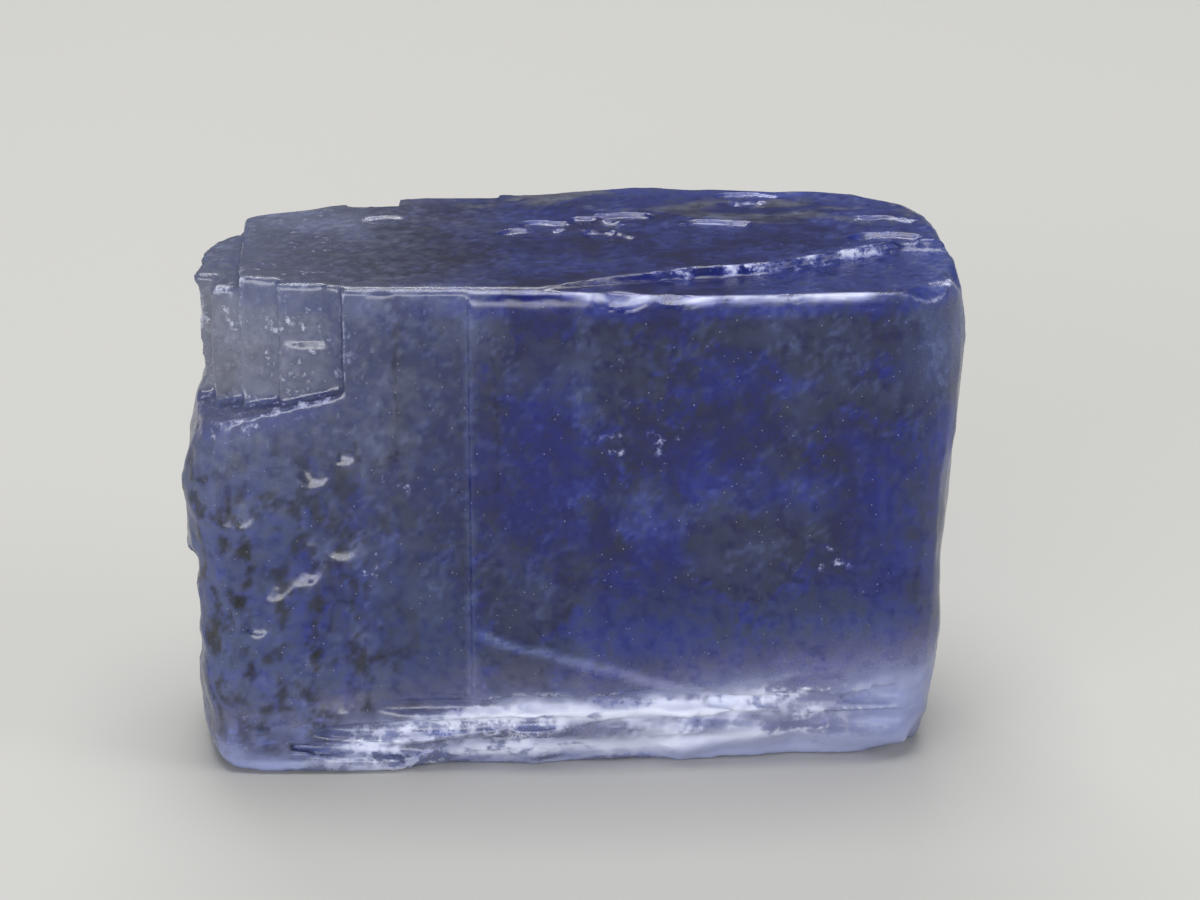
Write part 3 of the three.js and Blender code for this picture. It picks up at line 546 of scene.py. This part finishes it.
# %% Clouds: keep the attributes
shape = given["Geometry"]
for name, field in (("edge", edge_there), ("rim", rim), ("blue", blue), ("deep", deep), ("dark_spot", dark_spot),
                    ("clear", clear), ("haze", haze), ("foot", frost_and_painted_light), ("painted_milky_light", painted_milky_light), ("rose", rose),
                    ("flaw_glint_share", flaw_glint_share), ("ribbon", ribbon)):
    shape = add(clouds, "GeometryNodeStoreNamedAttribute", {"Geometry": shape, "Name": name, "Value": field},
                data_type="FLOAT", domain="POINT")
clouds.links.new(shape, clouds.nodes.new("NodeGroupOutput").inputs[0])
print("cloud tree:", len(clouds.nodes), "nodes")

# %% [markdown]
# ## The salt itself
# The material is a clear solid that absorbs light evenly, with the clouds as a tint on its skin, because only an even
# absorption can be carried over when the model is exported. Haze, frost and the painted light let less light through
# and spread it more.

# %% Halite: the fine grain
# Halite is natural sodium chloride, split along its cleavage: glassy flat faces, with a satin bloom from damp air
HALITE_IOR = 1.544
ABSORPTION = 2500.0

halite = bpy.data.materials.new("blue_halite")
halite.use_nodes = True
salt = halite.node_tree
salt.nodes.clear()

at = add(salt, "ShaderNodeVectorMath", {0: add(salt, "ShaderNodeTexCoord", output="Object"), "Scale": 1 / MM},
         operation="SCALE")
share = {name: add(salt, "ShaderNodeAttribute", output="Fac", attribute_name=name)
         for name in ("edge", "rim", "blue", "deep", "dark_spot", "clear", "haze", "foot", "painted_milky_light", "rose", "flaw_glint_share",
                      "ribbon")}
grain = add(salt, "ShaderNodeTexNoise", {"Vector": at, "Scale": 1.7, "Detail": 4.0, "Roughness": 0.7})
mottle = add(salt, "ShaderNodeMath", {0: grain, 1: 0.5}, operation="SUBTRACT")
blue = add(salt, "ShaderNodeMath", {0: mottle, 1: 1.5, 2: share["blue"]}, operation="MULTIPLY_ADD", use_clamp=True)
haze = add(salt, "ShaderNodeMath", {0: mottle, 1: -1.3, 2: share["haze"]}, operation="MULTIPLY_ADD", use_clamp=True)

# %% Halite: frost and painted light
high = add(salt, "ShaderNodeSeparateXYZ", {0: at}, "Z")
# Painted light: the foot's white lace and lines stand for the light that the undercut sends towards the camera
lace = add(salt, "ShaderNodeMath", {0: mottle, 1: 0.6, 2: share["ribbon"]}, operation="MULTIPLY_ADD")
fill = add(salt, "ShaderNodeMapRange", {"Value": lace, 1: 0.38, 2: 0.53, 3: 0.08, 4: 1.0},
           interpolation_type="SMOOTHSTEP")
layer = add(salt, "ShaderNodeMath", {0: share["ribbon"], 1: 2.2, 2: high}, operation="MULTIPLY_ADD")
layer = add(salt, "ShaderNodeMath", {0: layer, 1: 0.5}, operation="PINGPONG")
layer = add(salt, "ShaderNodeMapRange", {"Value": layer, 1: 0.1, 2: 0.0}, interpolation_type="SMOOTHSTEP")
patch = add(salt, "ShaderNodeMapRange", {"Value": grain, 1: 0.42, 2: 0.56, 3: 0.2, 4: 1.0})
layer = add(salt, "ShaderNodeMath", {0: layer, 1: patch}, operation="MULTIPLY")
ribbon = add(salt, "ShaderNodeMath", {0: layer, 1: fill}, operation="MAXIMUM")
ribbon = add(salt, "ShaderNodeMath", {0: ribbon, 1: share["foot"]}, operation="MULTIPLY")
bruise = add(salt, "ShaderNodeMapRange", {"Value": grain, 1: 0.45, 2: 0.58})
bruised = add(salt, "ShaderNodeMapRange", {"Value": share["edge"], 1: 0.25, 2: 1.0, 3: 0.0, 4: 0.9})
bruise = add(salt, "ShaderNodeMath", {0: bruise, 1: bruised}, operation="MULTIPLY", use_clamp=True)
# The front rim is white, partly bruising and partly a painted highlight
rim = add(salt, "ShaderNodeMath", {0: share["rim"], 1: 0.85}, operation="MULTIPLY")
frost_and_painted_light = add(salt, "ShaderNodeMath", {0: ribbon, 1: bruise}, operation="MAXIMUM")
frost_and_painted_light = add(salt, "ShaderNodeMath", {0: frost_and_painted_light, 1: rim}, operation="MAXIMUM")

# %% Halite: painted glints at sparks and flaws
# Painted glints: one bright white point, painted into the colour, stands at a random place in each small cell. Most
# are too small to show
CELLS_PER_MM = 4.2

cell = add(salt, "ShaderNodeVectorMath", {0: at, "Scale": CELLS_PER_MM}, operation="SCALE")
cell_corner = add(salt, "ShaderNodeVectorMath", {0: cell}, operation="FLOOR")
in_cell = add(salt, "ShaderNodeVectorMath", {0: cell}, operation="FRACTION")
chance = salt.nodes.new("ShaderNodeTexWhiteNoise")
salt.links.new(cell_corner, chance.inputs["Vector"])
point = add(salt, "ShaderNodeVectorMath", {0: chance.outputs["Color"], 1: (0.8, 1.0, 0.8), 2: (0.1, 0.0, 0.1)},
            operation="MULTIPLY_ADD")
away = add(salt, "ShaderNodeVectorMath", {0: in_cell, 1: point}, "Value", operation="DISTANCE")
painted_glint_size = add(salt, "ShaderNodeMath", {0: chance.outputs["Value"], 1: 0.165}, operation="PINGPONG")
painted_glint = add(salt, "ShaderNodeMath", {0: painted_glint_size, 1: away}, operation="SUBTRACT")
painted_glint = add(salt, "ShaderNodeMath", {0: painted_glint, 1: 14.0}, operation="MULTIPLY", use_clamp=True)
painted_glint = add(salt, "ShaderNodeMath", {0: painted_glint, 1: 0.45}, operation="MULTIPLY")
frost_and_painted_light = add(salt, "ShaderNodeMath", {0: frost_and_painted_light, 1: painted_glint}, operation="MAXIMUM")
# Painted glints: small flaws flash white in the clear corner, painted into the colour
painted_flaw_glint = add(salt, "ShaderNodeMapRange", {"Value": grain, 1: 0.55, 2: 0.68, 3: 0.0, 4: 0.7})
painted_flaw_glint = add(salt, "ShaderNodeMath", {0: painted_flaw_glint, 1: share["flaw_glint_share"]}, operation="MULTIPLY", use_clamp=True)
frost_and_painted_light = add(salt, "ShaderNodeMath", {0: frost_and_painted_light, 1: painted_flaw_glint}, operation="MAXIMUM")

# %% Halite: colours
# Each colour lies over the ones before it: slate or deep body, blue clouds, veils, dark spots and grains, clear salt,
# the milky painted light of the foot, and a white that is frost on bruised edges and painted light elsewhere: the
# foot's bright band, a painted highlight on the front rim, and painted glints at sparks and flaws
body = add(salt, "ShaderNodeMix", {0: share["deep"], 6: linear("#50608a"), 7: linear("#11141f")}, 2,
           data_type="RGBA")
body = add(salt, "ShaderNodeMix", {0: blue, 6: body, 7: linear("#2038d8")}, 2, data_type="RGBA")
veil = add(salt, "ShaderNodeMix", {0: share["rose"], 6: linear("#7a8ccb"), 7: linear("#a294c8")}, 2,
           data_type="RGBA")
body = add(salt, "ShaderNodeMix", {0: haze, 6: body, 7: veil}, 2, data_type="RGBA")
# Darker grey-green spots on the lower left end
body = add(salt, "ShaderNodeMix", {0: share["dark_spot"], 6: body, 7: linear("#3a4248")}, 2, data_type="RGBA")
dark = add(salt, "ShaderNodeMapRange", {"Value": grain, 1: 0.5, 2: 0.36, 3: 0.0, 4: 0.5})
body = add(salt, "ShaderNodeMix", {0: dark, 6: body, 7: linear("#191a22")}, 2, data_type="RGBA")
body = add(salt, "ShaderNodeMix", {0: share["clear"], 6: body, 7: linear("#acb1c6")}, 2, data_type="RGBA")
# Painted light: the milky lilac of the foot's lowest row and right end
body = add(salt, "ShaderNodeMix", {0: share["painted_milky_light"], 6: body, 7: linear("#b0bcf6")}, 2, data_type="RGBA")
# White: frost on bruised edges, with painted light on the foot's band, a painted highlight on the front rim and
# painted glints at sparks and flaws
body = add(salt, "ShaderNodeMix", {0: frost_and_painted_light, 6: body, 7: linear("#e6ebff")}, 2, data_type="RGBA")

# %% Halite: shader
misty = add(salt, "ShaderNodeMapRange", {"Value": haze, 3: 0.0, 4: 0.58})
misty = add(salt, "ShaderNodeMath", {0: misty, 1: frost_and_painted_light}, operation="MAXIMUM")
milky = add(salt, "ShaderNodeMath", {0: share["painted_milky_light"], 1: 0.75}, operation="MULTIPLY")
misty = add(salt, "ShaderNodeMath", {0: misty, 1: milky}, operation="MAXIMUM")
passing = add(salt, "ShaderNodeMapRange", {"Value": misty, 3: 0.94, 4: 0.1})
rough = add(salt, "ShaderNodeMapRange", {"Value": misty, 3: 0.14, 4: 0.5})
satin = add(salt, "ShaderNodeMapRange", {"Value": high, 1: 19.0, 2: 19.4, 3: 0.0, 4: 0.26})
rough = add(salt, "ShaderNodeMath", {0: rough, 1: satin}, operation="MAXIMUM")
ripple = add(salt, "ShaderNodeTexNoise", {"Vector": at, "Scale": 3.0, "Detail": 0.0})
bumped = add(salt, "ShaderNodeBump", {"Height": ripple, "Strength": 0.2, "Distance": 0.05 * MM})
skin = add(salt, "ShaderNodeBsdfPrincipled", {"Base Color": body, "Roughness": rough, "IOR": HALITE_IOR,
           "Transmission Weight": passing, "Normal": bumped})
depth = add(salt, "ShaderNodeVolumeAbsorption", {"Color": (0.940, 0.949, 0.970, 1), "Density": ABSORPTION})
add(salt, "ShaderNodeOutputMaterial", {"Surface": skin, "Volume": depth})
print("halite:", len(salt.nodes), "nodes")

# %% Give the block its clouds and its relief
def grow(obj, tree, sizes):
    """Adds a Geometry Nodes tree to an object and sets the tree's named inputs."""
    modifier = obj.modifiers.new(tree.name, "NODES")
    modifier.node_group = tree
    for item in tree.interface.items_tree:
        if item.in_out == "INPUT" and item.name in sizes:
            modifier[item.identifier] = sizes[item.name]


grow(block, clouds, {"Cloud Width": 6.5, "Drift": 3.0, "Wisp Width": 1.8})
grow(block, relief, {"Striation Height": 0.03, "Cup Depth": 0.18, "Ripple Height": 0.25, "Chip Depth": 0.12,
                     "Terrace Height": 0.05, "Material": halite})
crystal = plain_mesh(block, "crystal")
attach(crystal, "root")
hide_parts("halite_crystal")
print("crystal:", len(crystal.data.vertices), "points,", [m.name for m in crystal.data.materials])

# %% [markdown]
# ## Flecks inside
# Growing salt traps drops of brine, and each sits in a tiny cubic hollow that lies along the cleavage. They show as
# bright flecks where the salt is clear. A third tree strews points over the clear parts, pushes each one inwards and
# puts a small box on it. Points that come too near a surface or out of the crystal are left out.

# %% Build the fleck tree
flecks = bpy.data.node_groups.new("flecks", "GeometryNodeTree")
flecks.interface.new_socket("Geometry", in_out="INPUT", socket_type="NodeSocketGeometry")
for name in ("Flecks Per Square Metre", "Shallowest", "Deepest", "Smallest", "Largest", "Cover"):
    flecks.interface.new_socket(name, in_out="INPUT", socket_type="NodeSocketFloat")
flecks.interface.new_socket("Seed", in_out="INPUT", socket_type="NodeSocketInt")
flecks.interface.new_socket("Material", in_out="INPUT", socket_type="NodeSocketMaterial")
flecks.interface.new_socket("Geometry", in_out="OUTPUT", socket_type="NodeSocketGeometry")
given = flecks.nodes.new("NodeGroupInput").outputs

clear_there = add(flecks, "GeometryNodeInputNamedAttribute", {"Name": "clear"}, data_type="FLOAT")
is_clear = add(flecks, "FunctionNodeCompare", {0: clear_there, 1: 0.3}, data_type="FLOAT", operation="GREATER_THAN")
strewn = flecks.nodes.new("GeometryNodeDistributePointsOnFaces")
flecks.links.new(given["Geometry"], strewn.inputs["Mesh"])
flecks.links.new(is_clear, strewn.inputs["Selection"])
flecks.links.new(given["Flecks Per Square Metre"], strewn.inputs["Density"])
flecks.links.new(given["Seed"], strewn.inputs["Seed"])
sunk = add(flecks, "FunctionNodeRandomValue", {2: given["Shallowest"], 3: given["Deepest"], "Seed": given["Seed"]}, 1,
           data_type="FLOAT")
sunk = add(flecks, "ShaderNodeMath", {0: sunk, 1: -1.0}, operation="MULTIPLY")
inward = add(flecks, "ShaderNodeVectorMath", {0: strewn.outputs["Normal"], "Scale": sunk}, operation="SCALE")
placed = add(flecks, "GeometryNodeSetPosition", {"Geometry": strewn.outputs["Points"], "Offset": inward})
to_skin = add(flecks, "GeometryNodeProximity", {0: given["Geometry"]}, "Distance")
too_near = add(flecks, "FunctionNodeCompare", {0: to_skin, 1: given["Cover"]}, data_type="FLOAT",
               operation="LESS_THAN")
# A ray from inside the crystal leaves through a face that looks the same way as the ray
ray = flecks.nodes.new("GeometryNodeRaycast")
flecks.links.new(given["Geometry"], ray.inputs["Target Geometry"])
ray.inputs["Ray Direction"].default_value = (0, 0, -1)
leaves = add(flecks, "ShaderNodeVectorMath", {0: ray.outputs["Hit Normal"], 1: (0, 0, -1)}, "Value",
             operation="DOT_PRODUCT")
outside = add(flecks, "FunctionNodeCompare", {0: leaves, 1: 0.01}, data_type="FLOAT", operation="LESS_THAN")
unwanted = add(flecks, "FunctionNodeBooleanMath", {0: too_near, 1: outside}, operation="OR")
kept = add(flecks, "GeometryNodeDeleteGeometry", {"Geometry": placed, "Selection": unwanted}, domain="POINT")
size = add(flecks, "FunctionNodeRandomValue", {0: (0.3, 0.3, 0.3), 1: (1.0, 1.0, 1.0), "Seed": given["Seed"]},
           data_type="FLOAT_VECTOR")
spread = add(flecks, "FunctionNodeRandomValue", {2: given["Smallest"], 3: given["Largest"], "Seed": given["Seed"]}, 1,
             data_type="FLOAT")
size = add(flecks, "ShaderNodeVectorMath", {0: size, "Scale": spread}, operation="SCALE")
box = add(flecks, "GeometryNodeMeshCube", {"Size": (1, 1, 1)})
boxes = add(flecks, "GeometryNodeInstanceOnPoints", {"Points": kept, "Instance": box, "Scale": size})
real = add(flecks, "GeometryNodeRealizeInstances", {"Geometry": boxes})
painted = add(flecks, "GeometryNodeSetMaterial", {"Geometry": real, "Material": given["Material"]})
flecks.links.new(painted, flecks.nodes.new("NodeGroupOutput").inputs[0])
print("fleck tree:", len(flecks.nodes), "nodes")

# %% Strew the flecks
# Trapped brine: the walls of its hollows are bright, because light turns back where salt meets brine
brine = bpy.data.materials.new("trapped_brine")
brine.use_nodes = True
film = brine.node_tree
film.nodes.clear()
at = add(film, "ShaderNodeVectorMath", {0: add(film, "ShaderNodeTexCoord", output="Object"), "Scale": 1 / MM},
         operation="SCALE")
shimmer = add(film, "ShaderNodeTexNoise", {"Vector": at, "Scale": 1.5, "Detail": 2.0})
shimmer = add(film, "ShaderNodeMix", {0: shimmer, 6: linear("#f4e6e0"), 7: linear("#f2f5ff")}, 2, data_type="RGBA")
wall = add(film, "ShaderNodeBsdfPrincipled", {"Base Color": shimmer, "Roughness": 0.25})
add(film, "ShaderNodeOutputMaterial", {"Surface": wall})

host = bpy.data.objects.new("fleck_host", crystal.data.copy())
bpy.context.collection.objects.link(host)
grow(host, flecks, {"Flecks Per Square Metre": 0.6e6, "Shallowest": 0.15 * MM, "Deepest": 1.6 * MM,
                    "Smallest": 0.05 * MM, "Largest": 0.22 * MM, "Cover": 0.14 * MM, "Seed": 5, "Material": brine})
specks = plain_mesh(host, "brine_flecks")
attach(specks, "root")
print("flecks:", len(specks.data.polygons) // 6)

# %% [markdown]
# ## Floor and light
# A large pale sheet and four soft boxes. The one behind shines through the crystal towards the camera.

# %% Build the studio
FLOOR_REACH = 2
FLOOR_GAP = 0.03 * MM

sheet = bpy.data.meshes.new("floor")
corners = [(-FLOOR_REACH, -FLOOR_REACH), (FLOOR_REACH, -FLOOR_REACH), (FLOOR_REACH, FLOOR_REACH),
           (-FLOOR_REACH, FLOOR_REACH)]
sheet.from_pydata([(*corner, -FLOOR_GAP) for corner in corners], [], [(0, 1, 2, 3)])
floor = bpy.data.objects.new("floor", sheet)
bpy.context.collection.objects.link(floor)
# Pale paper: matt, so it gives an even glow from below and no glare
paper = bpy.data.materials.new("pale_paper")
paper.use_nodes = True
matt = paper.node_tree.nodes["Principled BSDF"].inputs
matt["Base Color"].default_value = linear("#c4c3bf")
matt["Roughness"].default_value = 0.9
sheet.materials.append(paper)


def softbox(name, place, size, power):
    """An area light in metres and watts that faces the crystal."""
    light = bpy.data.lights.new(name, "AREA")
    light.shape = "RECTANGLE"
    light.size, light.size_y = size
    light.energy = power
    lamp = bpy.data.objects.new(name, light)
    bpy.context.collection.objects.link(lamp)
    lamp.location = place
    lamp.rotation_euler = (Vector(place) - Vector((0, 0, 0.01))).to_track_quat("Z", "Y").to_euler()


softbox("softbox_top", (0, 0.02, 0.45), (0.3, 0.3), 1.5)
softbox("softbox_back", (-0.05, 0.36, 0.42), (0.3, 0.12), 0.9)
softbox("softbox_front", (-0.2, -0.5, 0.12), (0.6, 0.2), 2.5)
softbox("softbox_side", (0.45, -0.15, 0.2), (0.2, 0.3), 0.5)
world = bpy.data.worlds.new("studio")
bpy.context.scene.world = world
world.use_nodes = True
world.node_tree.nodes["Background"].inputs["Color"].default_value = linear("#9a9da3")
world.node_tree.nodes["Background"].inputs["Strength"].default_value = 0.4
bpy.context.scene.view_settings.view_transform = "Standard"
